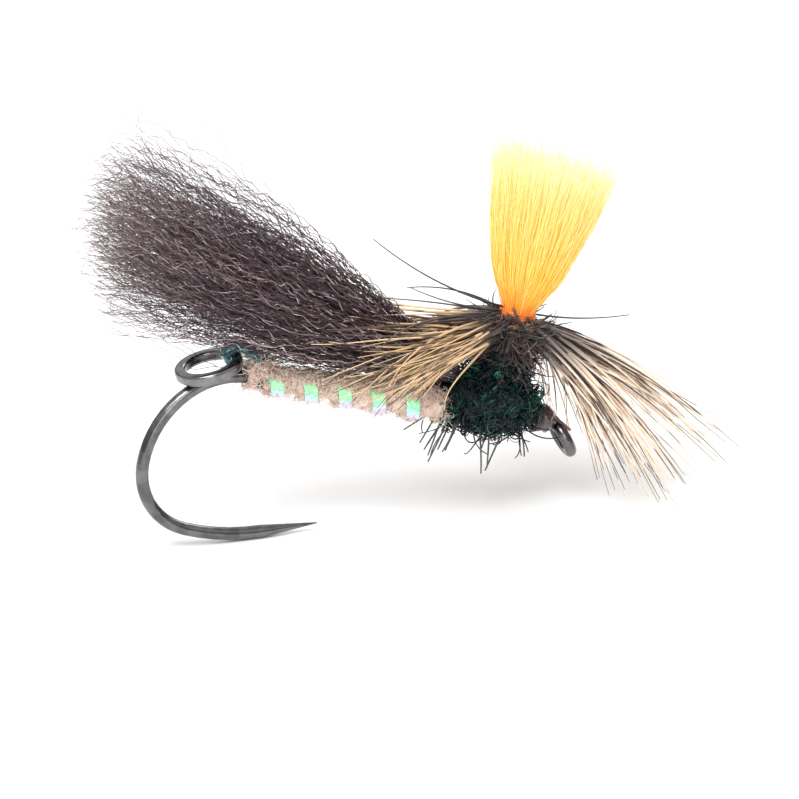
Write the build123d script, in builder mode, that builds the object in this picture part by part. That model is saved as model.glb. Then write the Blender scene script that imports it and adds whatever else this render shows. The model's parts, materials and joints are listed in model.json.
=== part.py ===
# A parachute dry fly on a barbless hook, with a small steel ring tied in at the bend.
# It is drawn with the hook's straight shank along X, the eye towards +X and the hackle
# above it, and is then laid down in the attitude in which it stands on its hackle tips.
import os
from math import atan, cos, degrees, radians, sin

from build123d import *

os.makedirs("parts", exist_ok=True)

# ---- hook ----
wire_d = 0.38
shank_len = 9.45                      # straight stretch, from the bend to the eye's neck
bend_radii = (2.38, 2.93, 1.91, 6.46)  # the bend is four arcs, each running on from the last
bend_turns = (45, 49, 81, 21)
point_len = 1.7                       # ground needle point
point_tip_d = 0.04
eye_turn = 50                         # the eye looks down by this angle
neck_radius = 0.45
eye_hole_d = 0.58
eye_wire_d = 0.34
stance = 14.7                         # nose-down angle of the shank when the fly stands

# ---- tippet ring and the loop that holds it ----
ring_od = 2.0
ring_wall = 0.31
ring_height = 0.33
ring_tilt = 27.5                      # from the shank, at rest on the hook's bend
ring_edge_r = 0.1
strap_width = 0.36
strap_thick = 0.09
ring_play = 0.045                     # between the ring and the loop around it
loop_gap = 0.02                       # between the loop and the hook wire
loop_reach = 0.52                     # from the loop's root back to the ring's wall
root_d = 0.42                         # the loop's bound root, a small roll across the shank
root_width = 0.82
root_eye_d = 0.1

# ---- body ----
thread_thick = 0.07
whipping_thick = 0.11
whipping_len = 0.32
abdomen_tail_d = 0.62
abdomen_front_d = 1.04
rib_width = 0.38
rib_thick = 0.06
rib_pitch = 1.06
rib_start = 0.35                      # from the abdomen's tail end to the first turn
rib_stop = 0.13                       # from the last turn to the thorax
thorax_len = 3.3
thorax_d = 2.3
head_len = 0.42
head_setback = 0.35                   # from the head's back to the end of the straight shank
head_back_d = 0.86
head_front_d = 0.6
cement_thick = 0.06

# ---- wing post ----
post_setback = 1.4                    # from the post's middle to the head's back
post_d = 0.84
post_wrap_thick = 0.12
post_neck_h = 3.1
post_top_h = 7.6
post_top_width = 3.7
post_top_depth = 2.4

# ---- wing: distance ahead of the thorax's back, height of its middle, height, width ----
wing_stations = (
    (0.3, 0.98, 0.70, 0.8),
    (-1.8, 1.62, 1.90, 1.5),
    (-5.3, 2.60, 3.00, 2.2),
    (-11.2, 4.10, 4.40, 2.6),
)

# ---- hackle ----
hackle_h = 2.65
stem_d = 0.18
stem_turns = 3
barb_layer = 0.1
barb_bow = 0.35                       # how far a barb bows up from its chord
foot_reach = 6.0                      # the front barbs that the fly stands on
# angles are about the post, from straight ahead: start, sweep, reach, drop at the tips
open_sectors = {
    "hackle_front": (-9, 18, 7.0, 2.0),
    "hackle_side_left": (54, 54, 6.2, 1.6),
    "hackle_side_right": (-108, 54, 6.2, 1.6),
    "hackle_rear_left": (114, 46, 6.0, 0.9),
    "hackle_rear_right": (-160, 46, 6.0, 0.9),
}
foot_sectors = {"hackle_foot_left": (12, 36), "hackle_foot_right": (-48, 36)}

# ---- loose trim: hairs behind and ahead of the post, cut stem ends beside the eye ----
hair_d = 0.08
# angle about the post, rise, length
hairs = ((176, 16, 3.7), (-176, 5, 2.9), (168, 9, 3.1), (1, 4, 2.4))
butt_d = 0.12
butt_len = 0.75
butt_spread = 0.22

# ---- worked out from the sizes above ----
wire_r = wire_d / 2
body_r = wire_r + thread_thick
root_r = root_d / 2
root_h = wire_r + loop_gap + root_r
ring_mid_r = (ring_od - ring_wall) / 2
ring_bore_r = ring_od / 2 - ring_wall
wall_drop = (
    (ring_wall / 2 - ring_edge_r) * sin(radians(ring_tilt))
    + (ring_height / 2 - ring_edge_r) * cos(radians(ring_tilt))
    + ring_edge_r
)
wall_x = -loop_reach
wall_h = wire_r + loop_gap + strap_thick + ring_play + wall_drop
ring_x = wall_x - ring_mid_r * cos(radians(ring_tilt))
ring_h = wall_h - ring_mid_r * sin(radians(ring_tilt))
head_x = shank_len - head_setback
thorax_x = head_x - thorax_len
whipping_x = root_r + loop_gap
abdomen_x = whipping_x + whipping_len
abdomen_len = thorax_x - abdomen_x
rib_turns = (abdomen_len - rib_start - rib_stop) / rib_pitch
eye_ring_r = (eye_hole_d + eye_wire_d) / 2
eye_way = (cos(radians(eye_turn)), 0, -sin(radians(eye_turn)))
eye_axis = (sin(radians(eye_turn)), 0, cos(radians(eye_turn)))
post_x = head_x - post_setback
post_r = post_d / 2
post_wrap_r = post_r + post_wrap_thick
stem_mid_r = post_wrap_r + stem_d / 2
barb_root_r = post_wrap_r + stem_d + 0.04
post_axis = Axis((post_x, 0, 0), (0, 0, 1))
shank_axis = Axis.X

made = {}


def keep(name, builder):
    """Labels a finished piece and puts it on the list of pieces to write."""
    builder.part.label = name
    made[name] = builder.part


def sleeve(x, length, bore_r, back_r, front_r):
    """A turned collar on the shank, with its outside tapering from back to front."""
    with BuildPart() as collar:
        with BuildSketch(Plane.XZ):
            with BuildLine():
                Polyline(
                    (x, bore_r),
                    (x + length, bore_r),
                    (x + length, front_r),
                    (x, back_r),
                    close=True,
                )
            make_face()
        revolve(axis=shank_axis)
    return collar


# ---- hook: one wire, swept along the shank and bend, with its point and its eye ----
with BuildPart() as hook:
    with BuildLine(Plane.XZ) as wire_line:
        neck = JernArc((shank_len, 0), (1, 0), neck_radius, -eye_turn)
        Line((shank_len, 0), (0, 0))
        run = JernArc((0, 0), (-1, 0), bend_radii[0], bend_turns[0])
        for radius, turn in zip(bend_radii[1:], bend_turns[1:]):
            run = JernArc(run @ 1, run % 1, radius, turn)
    path = wire_line.wires()[0]
    with BuildSketch(Plane(origin=path @ 0, z_dir=path % 0)):
        Circle(wire_r)
    sweep(path=path)
    with Locations(Plane(origin=run @ 1, z_dir=run % 1)):
        Cone(wire_r, point_tip_d / 2, point_len, align=(Align.CENTER, Align.CENTER, Align.MIN))
    eye_centre = (neck @ 1) + Vector(*eye_way) * eye_ring_r
    with Locations(Plane(origin=eye_centre, z_dir=eye_axis)):
        Torus(eye_ring_r, eye_wire_d / 2)
        # a narrow land inside the eye, where the leader bears
        eye_bore_r = eye_hole_d / 2 + 0.03
        Cylinder(eye_bore_r, eye_wire_d * 2, mode=Mode.SUBTRACT)
keep("hook", hook)
eye_land = 2 * ((eye_wire_d / 2) ** 2 - (eye_ring_r - eye_bore_r) ** 2) ** 0.5

# ---- tippet ring ----
ring_plane = Plane(
    origin=(ring_x, 0, ring_h),
    x_dir=(cos(radians(ring_tilt)), 0, sin(radians(ring_tilt))),
    z_dir=(-sin(radians(ring_tilt)), 0, cos(radians(ring_tilt))),
)
section_plane = Plane(origin=ring_plane.origin, x_dir=ring_plane.x_dir, z_dir=(0, -1, 0))
with BuildPart() as tippet_ring:
    with BuildSketch(section_plane):
        with Locations((ring_mid_r, 0)):
            RectangleRounded(ring_wall, ring_height, ring_edge_r)
    revolve(axis=Axis(ring_plane.origin, ring_plane.z_dir))
keep("tippet_ring", tippet_ring)

# ---- flat floss loop: a teardrop strap around the ring's wall and its own root ----
def loop_outline(grown, root_size):
    """The teardrop around the ring's wall, grown outwards, and the loop's root."""
    with Locations((wall_x, wall_h)):
        RectangleRounded(
            ring_wall + 2 * grown,
            ring_height + 2 * grown,
            ring_edge_r + grown,
            rotation=ring_tilt,
        )
    with Locations((0, root_h)):
        Circle(root_size / 2)
    make_hull()


with BuildPart() as ring_loop:
    with BuildSketch(Plane.XZ):
        loop_outline(ring_play + strap_thick, root_d)
    extrude(amount=strap_width / 2, both=True)
    with BuildSketch(Plane.XZ):
        loop_outline(ring_play, root_eye_d)
    extrude(amount=strap_width, both=True, mode=Mode.SUBTRACT)
    with Locations(Plane(origin=(0, 0, root_h), z_dir=(0, 1, 0))):
        Cylinder(root_r, root_width)
keep("ring_loop", ring_loop)

# ---- thread and dubbing on the shank ----
keep(
    "loop_whipping",
    sleeve(whipping_x, whipping_len, wire_r, wire_r + whipping_thick, wire_r + whipping_thick),
)
keep("thread_underbody", sleeve(abdomen_x, head_x - abdomen_x, wire_r, body_r, body_r))
keep(
    "abdomen",
    sleeve(abdomen_x, abdomen_len, body_r, abdomen_tail_d / 2, abdomen_front_d / 2),
)

# the tinsel follows the abdomen's taper and is half sunk in it
taper = degrees(atan((abdomen_front_d - abdomen_tail_d) / 2 / abdomen_len))
rib_r = abdomen_tail_d / 2 + (abdomen_front_d - abdomen_tail_d) / 2 * rib_start / abdomen_len
with BuildPart() as rib_tinsel:
    with BuildLine():
        coil = Helix(
            rib_pitch,
            rib_pitch * rib_turns,
            rib_r,
            center=(abdomen_x + rib_start, 0, 0),
            direction=(1, 0, 0),
            cone_angle=taper,
        )
    with BuildSketch(Plane(origin=coil @ 0, x_dir=(1, 0, 0), z_dir=coil % 0)):
        Rectangle(rib_width, rib_thick)
    sweep(path=coil, is_frenet=True)
keep("rib_tinsel", rib_tinsel)

with BuildPart() as thorax:
    with BuildSketch(Plane.XZ):
        with Locations((thorax_x + thorax_len / 2, 0)):
            Ellipse(thorax_len / 2 + 0.15, thorax_d / 2)
        with Locations((thorax_x + thorax_len / 2, body_r)):
            Rectangle(thorax_len, thorax_d, align=(Align.CENTER, Align.MIN), mode=Mode.INTERSECT)
    revolve(axis=shank_axis)
    with BuildSketch(Plane.XY):
        with Locations((post_x, 0)):
            Circle(post_wrap_r)
    extrude(amount=thorax_d, mode=Mode.SUBTRACT)
keep("thorax", thorax)

keep("head_wraps", sleeve(head_x, head_len, wire_r, head_back_d / 2, head_front_d / 2))
with BuildPart() as head_cement:
    with BuildSketch(Plane.XZ):
        with BuildLine():
            Polyline(
                (head_x, head_back_d / 2),
                (head_x + head_len, head_front_d / 2),
                (head_x + head_len, head_front_d / 2 + cement_thick),
                (head_x, head_back_d / 2 + cement_thick),
                close=True,
            )
        make_face()
    revolve(axis=shank_axis)
keep("head_cement", head_cement)

# ---- post: yarn bound upright on the shank, flaring above the hackle ----
post_foot_h = body_r + 0.02
with BuildPart() as wing_post:
    with BuildSketch(Plane.XY.offset(post_foot_h)):
        with Locations((post_x, 0)):
            Circle(post_r)
    extrude(amount=post_neck_h - post_foot_h)
    with BuildSketch(Plane.XY.offset(post_neck_h)):
        with Locations((post_x, 0)):
            Circle(post_r)
    with BuildSketch(Plane.XY.offset(post_top_h)):
        with Locations((post_x, 0)):
            Ellipse(post_top_width / 2, post_top_depth / 2)
    loft()
keep("wing_post", wing_post)

with BuildPart() as post_wraps:
    with BuildSketch(Plane.XY.offset(post_foot_h)):
        with Locations((post_x, 0)):
            Circle(post_wrap_r)
            Circle(post_r, mode=Mode.SUBTRACT)
    extrude(amount=post_neck_h - post_foot_h)
keep("post_wraps", post_wraps)

# ---- wing: a bundle of hair tied in behind the thorax, trimmed to the dubbing ----
with BuildPart() as wing:
    for ahead, middle, tall, wide in wing_stations:
        with BuildSketch(Plane.YZ.offset(thorax_x + ahead)):
            with Locations((0, middle)):
                Ellipse(wide / 2, tall / 2)
    loft()
    add(thorax.part, mode=Mode.SUBTRACT)
keep("wing", wing)

# ---- hackle: quill turns about the post, and layers of barbs as thin curved sectors ----
with BuildPart() as hackle_stem:
    for turn in range(stem_turns):
        level = hackle_h + (turn - (stem_turns - 1) / 2) * (stem_d + 0.01)
        with Locations((post_x, 0, level)):
            Torus(stem_mid_r + 0.005, stem_d / 2)
keep("hackle_stem", hackle_stem)

nose_down = Rot(0, stance, 0)
floor_z = (nose_down * hook.part).bounding_box().min.Z


def barb_sector(start, sweep_angle, reach, drop):
    """Barbs between two angles about the post, from the quill out to their tips."""
    way = Vector(cos(radians(start)), sin(radians(start)), 0)
    side = Vector(sin(radians(start)), -cos(radians(start)), 0)
    middle = ((barb_root_r + reach) / 2, hackle_h - drop / 2 + barb_bow)
    with BuildPart() as sector:
        with BuildSketch(Plane(origin=(post_x, 0, 0), x_dir=way, z_dir=side)):
            with BuildLine():
                ThreePointArc((barb_root_r, hackle_h), middle, (reach, hackle_h - drop))
            trace(line_width=barb_layer)
        revolve(axis=post_axis, revolution_arc=sweep_angle)
    return sector


for name, (start, sweep_angle, reach, drop) in open_sectors.items():
    keep(name, barb_sector(start, sweep_angle, reach, drop))
for name, (start, sweep_angle) in foot_sectors.items():
    # the tips nearest the middle come down to the level that the bend rests on
    nearest = min(abs(start), abs(start + sweep_angle))
    tip_x = post_x + foot_reach * cos(radians(nearest))
    tip_h = (floor_z + tip_x * sin(radians(stance)) + barb_layer / 2) / cos(radians(stance))
    keep(name, barb_sector(start, sweep_angle, foot_reach, hackle_h - tip_h))

# ---- loose trim ----
with BuildPart() as guard_hairs:
    for angle, rise, length in hairs:
        flat = cos(radians(rise))
        way = (cos(radians(angle)) * flat, sin(radians(angle)) * flat, sin(radians(rise)))
        out = post_wrap_r + 0.35
        foot = (
            post_x + out * cos(radians(angle)),
            out * sin(radians(angle)),
            post_neck_h + hair_d,
        )
        with Locations(Plane(origin=foot, z_dir=way)):
            Cone(
                hair_d / 2,
                hair_d / 6,
                length,
                align=(Align.CENTER, Align.CENTER, Align.MIN),
            )
keep("guard_hairs", guard_hairs)

with BuildPart() as stem_butts:
    for side in (-1, 1):
        foot = (head_x + head_len / 2, side * butt_spread, head_back_d / 2 + cement_thick + butt_d / 2)
        with Locations(Plane(origin=foot, z_dir=(1, 0.25 * side, -0.1))):
            Cylinder(butt_d / 2, butt_len, align=(Align.CENTER, Align.CENTER, Align.MIN))
keep("stem_butts", stem_butts)

# ---- stand the fly up: nose down, on the ground, centred over its own footprint ----
stood = Compound(children=[nose_down * piece for piece in made.values()])
box = stood.bounding_box(optimal=True)
stand = Pos(-box.center().X, -box.center().Y, -floor_z) * nose_down
for name, piece in made.items():
    placed = stand * piece
    placed.label = name
    export_step(placed, f"parts/{name}.step")
    print(f"{name:18s} {placed.volume:8.4f} mm3  {len(placed.solids())} solid(s)")
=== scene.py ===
import json
import math

import bpy
import numpy as np
from mathutils import Matrix, Vector


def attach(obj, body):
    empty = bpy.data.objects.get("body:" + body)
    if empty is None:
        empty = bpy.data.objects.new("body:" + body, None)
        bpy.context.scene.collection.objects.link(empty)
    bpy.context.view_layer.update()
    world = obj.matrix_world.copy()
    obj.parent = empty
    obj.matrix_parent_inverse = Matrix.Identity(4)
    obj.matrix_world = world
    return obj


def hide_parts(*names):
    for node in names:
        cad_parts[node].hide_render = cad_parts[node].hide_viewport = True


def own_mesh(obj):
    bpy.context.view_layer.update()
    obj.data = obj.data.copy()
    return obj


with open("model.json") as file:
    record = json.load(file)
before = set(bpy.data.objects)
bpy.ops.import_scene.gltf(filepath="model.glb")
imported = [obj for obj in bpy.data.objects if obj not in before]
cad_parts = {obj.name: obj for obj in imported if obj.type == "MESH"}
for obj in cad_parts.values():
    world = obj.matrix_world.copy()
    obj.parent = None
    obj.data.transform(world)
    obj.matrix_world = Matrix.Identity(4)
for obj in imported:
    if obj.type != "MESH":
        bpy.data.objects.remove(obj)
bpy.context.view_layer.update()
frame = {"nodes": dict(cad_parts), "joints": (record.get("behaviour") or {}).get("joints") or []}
mm = 0.001
bakeMap = "OFBake"  # fibres are laid out by shade across it and by length up it
shades = 48


# the shank's own frame, in millimetres: x along it, y across it and h above it
def meshPoints(node):
    found = np.empty(len(frame["nodes"][node].data.vertices) * 3)
    frame["nodes"][node].data.vertices.foreach_get("co", found)
    return found.reshape(-1, 3)


underbody = meshPoints("thread_underbody")
shankMiddle = underbody.mean(0)
along = np.linalg.svd(underbody - shankMiddle, full_matrices=False)[2][0]
along *= np.sign(along[0])
side = np.array([0.0, 1.0, 0.0])
up = np.cross(along, side)
joints = {j["name"]: j for j in frame["joints"]}
loopRoot = np.array(joints["loop_lift"]["pos_m"])
shankStart = shankMiddle + along * np.dot(loopRoot - shankMiddle, along)
axes = np.array([along, side, up])


def toShank(points):
    return (np.asarray(points, float) - shankStart) @ axes.T / mm


def toRow(points):
    return shankStart + np.asarray(points, float) * mm @ axes


def nodeSpan(node):
    found = toShank(meshPoints(node))
    return found.min(0), found.max(0)


postLow, postHigh = nodeSpan("post_wraps")
postX = (postLow[0] + postHigh[0]) / 2
postR = (postHigh[1] - postLow[1]) / 2
postNeck = postHigh[2]
stemLow, stemHigh = nodeSpan("hackle_stem")
hackleH = (stemLow[2] + stemHigh[2]) / 2
stemR = (stemHigh[1] - stemLow[1]) / 2
bodyHigh = nodeSpan("abdomen")[1]
thoraxLow, thoraxHigh = nodeSpan("thorax")
headLow, headHigh = nodeSpan("head_wraps")
yarnHigh = nodeSpan("wing_post")[1]
print("frame read: post at", round(postX, 2), "hackle at", round(hackleH, 2))


class Wire:
    # a socket that can be reckoned with: a * b, 1 - a and so on add Math nodes
    def __init__(self, paint, socket):
        self.paint = paint
        self.socket = socket

    def reckon(self, operation, *others, flip=False):
        values = (others[0], self) if flip else (self, *others)
        return self.paint.node("ShaderNodeMath", {"operation": operation}, dict(enumerate(values)))

    def __add__(self, other):
        return self.reckon("ADD", other)

    def __sub__(self, other):
        return self.reckon("SUBTRACT", other)

    def __mul__(self, other):
        return self.reckon("MULTIPLY", other)

    def __rsub__(self, other):
        return self.reckon("SUBTRACT", other, flip=True)

    __radd__ = __add__
    __rmul__ = __mul__

    def clamp(self):
        return self.reckon("MINIMUM", 1.0).reckon("MAXIMUM", 0.0)

    def step(self, low, high):
        # rises smoothly from 0 at low to 1 at high
        settings = {"interpolation_type": "SMOOTHSTEP"}
        return self.paint.node("ShaderNodeMapRange", settings, {0: self, 1: low, 2: high})


class Nodes:
    def __init__(self, tree):
        self.tree = tree

    def node(self, kind, settings=None, sockets=None, out=0):
        made = self.tree.nodes.new(kind)
        for key, value in (settings or {}).items():
            if key == "stops":
                ramp = made.color_ramp
                while len(ramp.elements) < len(value):
                    ramp.elements.new(0.5)
                for stop, (place, colour) in zip(ramp.elements, value):
                    stop.position = place
                    stop.color = (*colour, 1.0)
            else:
                setattr(made, key, value)
        for key, value in (sockets or {}).items():
            self.feed(made.inputs[key], value)
        return Wire(self, made.outputs[out])

    def feed(self, socket, value):
        if isinstance(value, Wire):
            self.tree.links.new(value.socket, socket)
        elif isinstance(value, tuple) and len(value) == 3 and socket.type == "RGBA":
            socket.default_value = (*value, 1.0)
        else:
            socket.default_value = value

    def ramp(self, factor, *stops):
        return self.node("ShaderNodeValToRGB", {"stops": stops}, {0: factor})


class Paint(Nodes):
    def __init__(self, name, **fixed):
        self.material = bpy.data.materials.new(name)
        self.material.use_nodes = True
        super().__init__(self.material.node_tree)
        self.shader = self.tree.nodes["Principled BSDF"]
        for label, value in fixed.items():
            self.shader.inputs[label.replace("_", " ")].default_value = value

    def mix(self, factor, first, second):
        sockets = {0: factor, 6: first, 7: second}
        return self.node("ShaderNodeMix", {"data_type": "RGBA"}, sockets, out=2)

    def noise(self, scale, detail, vector=None):
        sockets = {"Scale": scale, "Detail": detail, "Vector": vector or self.place()}
        return self.node("ShaderNodeTexNoise", {}, sockets)

    def place(self):
        return self.node("ShaderNodeTexCoord", out=3)

    def chance(self, value):
        return self.node("ShaderNodeTexWhiteNoise", {"noise_dimensions": "1D"}, {"W": value})

    def fibre(self):
        # a fibre's shade number and how far along it a point is, from 0 to 1
        spot = self.node("ShaderNodeUVMap", {"uv_map": bakeMap})
        across = self.node("ShaderNodeSeparateXYZ", {}, {0: spot}, out=0)
        length = self.node("ShaderNodeSeparateXYZ", {}, {0: spot}, out=1)
        return (across * shades).reckon("FLOOR"), length

    def bump(self, height, strength, distance):
        sockets = {"Height": height, "Strength": strength, "Distance": distance}
        self.set(Normal=self.node("ShaderNodeBump", {}, sockets))

    def set(self, **values):
        for label, value in values.items():
            self.feed(self.shader.inputs[label.replace("_", " ")], value)
        return self


def blackNickel(name, tone):
    paint = Paint(name, Metallic=1.0, Coat_Weight=0.25, Coat_Roughness=0.08)
    mottle = paint.noise(2600.0, 4.0)
    fine = paint.noise(14000.0, 2.0)
    dark = (tone * 0.75, tone * 0.74, tone * 0.8)
    pale = (tone * 1.3, tone * 1.25, tone * 1.28)
    paint.set(Base_Color=paint.mix(mottle.step(0.35, 0.65), dark, pale))
    paint.set(Roughness=mottle * 0.12 + 0.13 + fine * 0.06)
    paint.bump(fine, 0.12, 0.00002)
    return paint.material


def wingHair():
    paint = Paint("crimped_dark_hair", Roughness=0.34, IOR=1.5, Specular_IOR_Level=0.65)
    shade, length = paint.fibre()
    chance = paint.chance(shade)
    hair = paint.ramp(
        chance,
        (0.0, (0.028, 0.015, 0.019)),
        (0.5, (0.07, 0.038, 0.045)),
        (0.8, (0.17, 0.105, 0.115)),
        (1.0, (0.42, 0.31, 0.32)),
    )
    tipped = paint.mix(length.step(0.7, 1.0) * 0.5, hair, (0.24, 0.17, 0.17))
    # a painted highlight on each crimp, where it catches the light
    spot = paint.node("ShaderNodeCombineXYZ", {}, {0: shade * 5.3, 1: length * 34.0})
    crimps = paint.node("ShaderNodeTexNoise", {"noise_dimensions": "2D"}, {"Vector": spot, "Scale": 1.0})
    glint = crimps.step(0.60, 0.68) * chance.step(0.1, 0.5) * 0.75
    return paint.set(Base_Color=paint.mix(glint, tipped, (0.80, 0.68, 0.72))).material


def postYarn():
    # a faint glow in the yarn's colour is painted light, for light shining through the yarn
    paint = Paint("bright_yarn", Roughness=0.45, Emission_Strength=0.22, Sheen_Weight=0.2)
    shade, length = paint.fibre()
    chance = paint.chance(shade)
    yarn = paint.ramp(
        length + (chance - 0.5) * 0.12,
        (0.0, (0.93, 0.10, 0.012)),
        (0.06, (0.98, 0.24, 0.015)),
        (0.13, (0.96, 0.48, 0.035)),
        (0.3, (0.94, 0.62, 0.09)),
        (0.75, (0.97, 0.75, 0.24)),
        (1.0, (1.0, 0.88, 0.52)),
    )
    lit = paint.mix(chance.step(0.6, 1.0) * 0.4, yarn, (1.0, 0.84, 0.45))
    # the yarn's colour doubles as its painted glow
    return paint.set(Base_Color=lit, Emission_Color=yarn).material


def barbPaint(name, cream, ginger, darkShare, rootShare=0.22):
    paint = Paint(name, Roughness=0.42, Specular_IOR_Level=0.55, Sheen_Weight=0.15)
    shade, length = paint.fibre()
    chance = paint.chance(shade)
    other = paint.chance(shade + 91.0)
    spot = paint.node("ShaderNodeCombineXYZ", {}, {0: shade * 3.7, 1: length * 3.0})
    bars = paint.node("ShaderNodeTexNoise", {"noise_dimensions": "2D"}, {"Vector": spot, "Scale": 1.0})
    ground = paint.mix(other, cream, ginger)
    dark = (0.032, 0.017, 0.021)
    darkBarb = chance.step(1.0 - darkShare, 1.0 - darkShare + 0.04)
    barred = (bars + darkBarb * 0.3 - length * 0.1).step(0.51, 0.58)
    root = 1 - length.step(rootShare * 0.4, other * rootShare + rootShare)
    amount = (barred * 0.9 + root * 0.85).clamp()
    return paint.set(Base_Color=paint.mix(amount, ground, dark)).material


def peacockDubbing():
    paint = Paint("peacock_dubbing", Roughness=0.25, Specular_IOR_Level=0.32)
    shade, length = paint.fibre()
    # the dark greens are the dubbing's own colour; the brightest emerald fibres are painted glints of
    # its sheen
    curl = paint.ramp(
        paint.chance(shade),
        (0.0, (0.002, 0.003, 0.006)),
        (0.5, (0.004, 0.010, 0.014)),
        (0.75, (0.005, 0.035, 0.030)),
        (0.92, (0.008, 0.11, 0.07)),
        (1.0, (0.06, 0.40, 0.29)),
    )
    return paint.set(Base_Color=curl).material


def darkCore():
    paint = Paint("dark_core", Roughness=0.6)
    clump = paint.noise(5200.0, 4.0)
    paint.set(Base_Color=paint.mix(clump.step(0.4, 0.65), (0.003, 0.004, 0.006), (0.008, 0.03, 0.024)))
    paint.bump(clump, 0.8, 0.0001)
    return paint.material


def tanFur():
    paint = Paint("tan_fur", Roughness=0.55, Sheen_Weight=0.25)
    shade, length = paint.fibre()
    fur = paint.ramp(
        paint.chance(shade),
        (0.0, (0.34, 0.20, 0.15)),
        (0.12, (0.74, 0.50, 0.38)),
        (0.4, (0.98, 0.76, 0.62)),
        (1.0, (1.0, 0.93, 0.85)),
    )
    return paint.set(Base_Color=fur).material


def furCore():
    paint = Paint("fur_core", Roughness=0.75, Sheen_Weight=0.3)
    clump = paint.noise(2600.0, 5.0)
    strand = paint.noise(9000.0, 3.0)
    base = paint.mix(clump.step(0.35, 0.65), (0.72, 0.50, 0.39), (0.98, 0.80, 0.69))
    paint.set(Base_Color=paint.mix(strand.step(0.5, 0.72) * 0.3, base, (0.42, 0.27, 0.20)))
    paint.bump(strand, 0.7, 0.00008)
    return paint.material


def pearlTinsel():
    coat = {"Coat_Weight": 0.5, "Coat_Roughness": 0.08}
    # the tinsel glows faintly in its film colour: painted light
    paint = Paint("pearl_tinsel", Metallic=0.3, Emission_Strength=0.35, **coat)
    place = paint.place()
    # painted iridescence: its colour changes with the height over the shank's line, in place of the
    # colours the pearl film reflects
    slope = math.atan2(along[2], along[0])
    turned = paint.node("ShaderNodeMapping", {}, {0: place, 2: (0.0, slope, 0.0)})
    height = paint.node("ShaderNodeSeparateXYZ", {}, {0: turned}, out=2)
    middle = float((Matrix.Rotation(slope, 3, "Y") @ Vector(shankMiddle)).z)
    wave = paint.noise(3000.0, 2.0)
    turn = (height - middle) * (1 / (1.1 * mm)) + 0.62 + (wave - 0.5) * 0.4
    film = paint.ramp(
        turn,
        (0.0, (0.80, 0.66, 0.95)),
        (0.3, (0.55, 0.60, 0.98)),
        (0.42, (0.40, 0.80, 0.90)),
        (0.5, (0.20, 0.90, 0.48)),
        (0.8, (0.30, 0.95, 0.42)),
    )
    # the painted iridescence is also its painted glow
    paint.set(Base_Color=film, Emission_Color=film, Roughness=wave * 0.2 + 0.1)
    return paint.material


def glossyFloss():
    paint = Paint("green_floss", Roughness=0.2, Coat_Weight=0.8, Coat_Roughness=0.05)
    place = paint.place()
    settings = {"operation": "MULTIPLY"}
    stretched = paint.node("ShaderNodeVectorMath", settings, {0: place, 1: (0.25, 1.0, 0.25)})
    floss = paint.noise(24000.0, 3.0, stretched)
    cloud = paint.noise(3600.0, 2.0)
    deep = paint.mix(cloud.step(0.3, 0.7), (0.006, 0.06, 0.075), (0.014, 0.14, 0.16))
    paint.set(Base_Color=paint.mix(floss.step(0.5, 0.7) * 0.6, deep, (0.08, 0.40, 0.42)))
    paint.bump(floss, 0.35, 0.00002)
    return paint.material


def waxedThread(name, dark, pale, gloss):
    paint = Paint(name, Roughness=0.4 - 0.25 * gloss, Coat_Weight=gloss, Coat_Roughness=0.05)
    shade, length = paint.fibre()
    ply = paint.node(
        "ShaderNodeTexWave",
        {"wave_type": "BANDS", "bands_direction": "DIAGONAL"},
        {"Vector": paint.place(), "Scale": 9000.0, "Distortion": 2.0},
    )
    paint.set(Base_Color=paint.mix(ply * 0.6 + paint.chance(shade) * 0.3, dark, pale))
    paint.bump(ply, 0.25, 0.00001)
    return paint.material


def quill():
    paint = Paint("quill", Roughness=0.35, Coat_Weight=0.3)
    streak = paint.noise(4200.0, 3.0)
    paint.set(Base_Color=paint.mix(streak.step(0.4, 0.62), (0.035, 0.022, 0.022), (0.20, 0.11, 0.07)))
    return paint.material


def darkStrand():
    paint = Paint("dark_strand", Roughness=0.35, Specular_IOR_Level=0.6)
    shade, length = paint.fibre()
    strand = paint.mix(paint.chance(shade), (0.012, 0.018, 0.018), (0.035, 0.045, 0.042))
    return paint.set(Base_Color=paint.mix(length * 0.6, strand, (0.12, 0.13, 0.12))).material


def headVarnish():
    paint = Paint("head_varnish", Coat_Weight=1.0, Coat_Roughness=0.02)
    pool = paint.noise(2400.0, 2.0)
    paint.set(Base_Color=paint.mix(pool.step(0.35, 0.7), (0.018, 0.009, 0.014), (0.085, 0.042, 0.038)))
    paint.set(Roughness=pool * 0.1 + 0.04)
    paint.bump(pool, 0.3, 0.00008)
    return paint.material


def paleFloor():
    paint = Paint("pale_floor", Roughness=0.85, Specular_IOR_Level=0.2)
    paint.set(Base_Color=(0.93, 0.93, 0.93))
    return paint.material


def growTubes(name, paths, thickness, rng, material, sides=3):
    # one closed tube along each path; paths are in the shank's frame, in millimetres
    paths = np.asarray(paths, float)
    count, points = paths.shape[:2]
    radii = np.broadcast_to(np.asarray(thickness, float), (count, points))
    ahead = np.gradient(paths, axis=1)
    ahead /= np.linalg.norm(ahead, axis=2, keepdims=True) + 1e-12
    leaning = rng.normal(size=(count, 1, 3))
    first = np.cross(ahead, np.broadcast_to(leaning, ahead.shape))
    first /= np.linalg.norm(first, axis=2, keepdims=True) + 1e-12
    second = np.cross(ahead, first)
    around = np.arange(sides) * 2 * math.pi / sides
    rim = np.cos(around)[:, None] * first[:, :, None] + np.sin(around)[:, None] * second[:, :, None]
    spots = paths[:, :, None] + radii[:, :, None, None] * rim
    return skin(name, toRow(spots.reshape(-1, 3)), (count, points, sides), rng, material)


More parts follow.
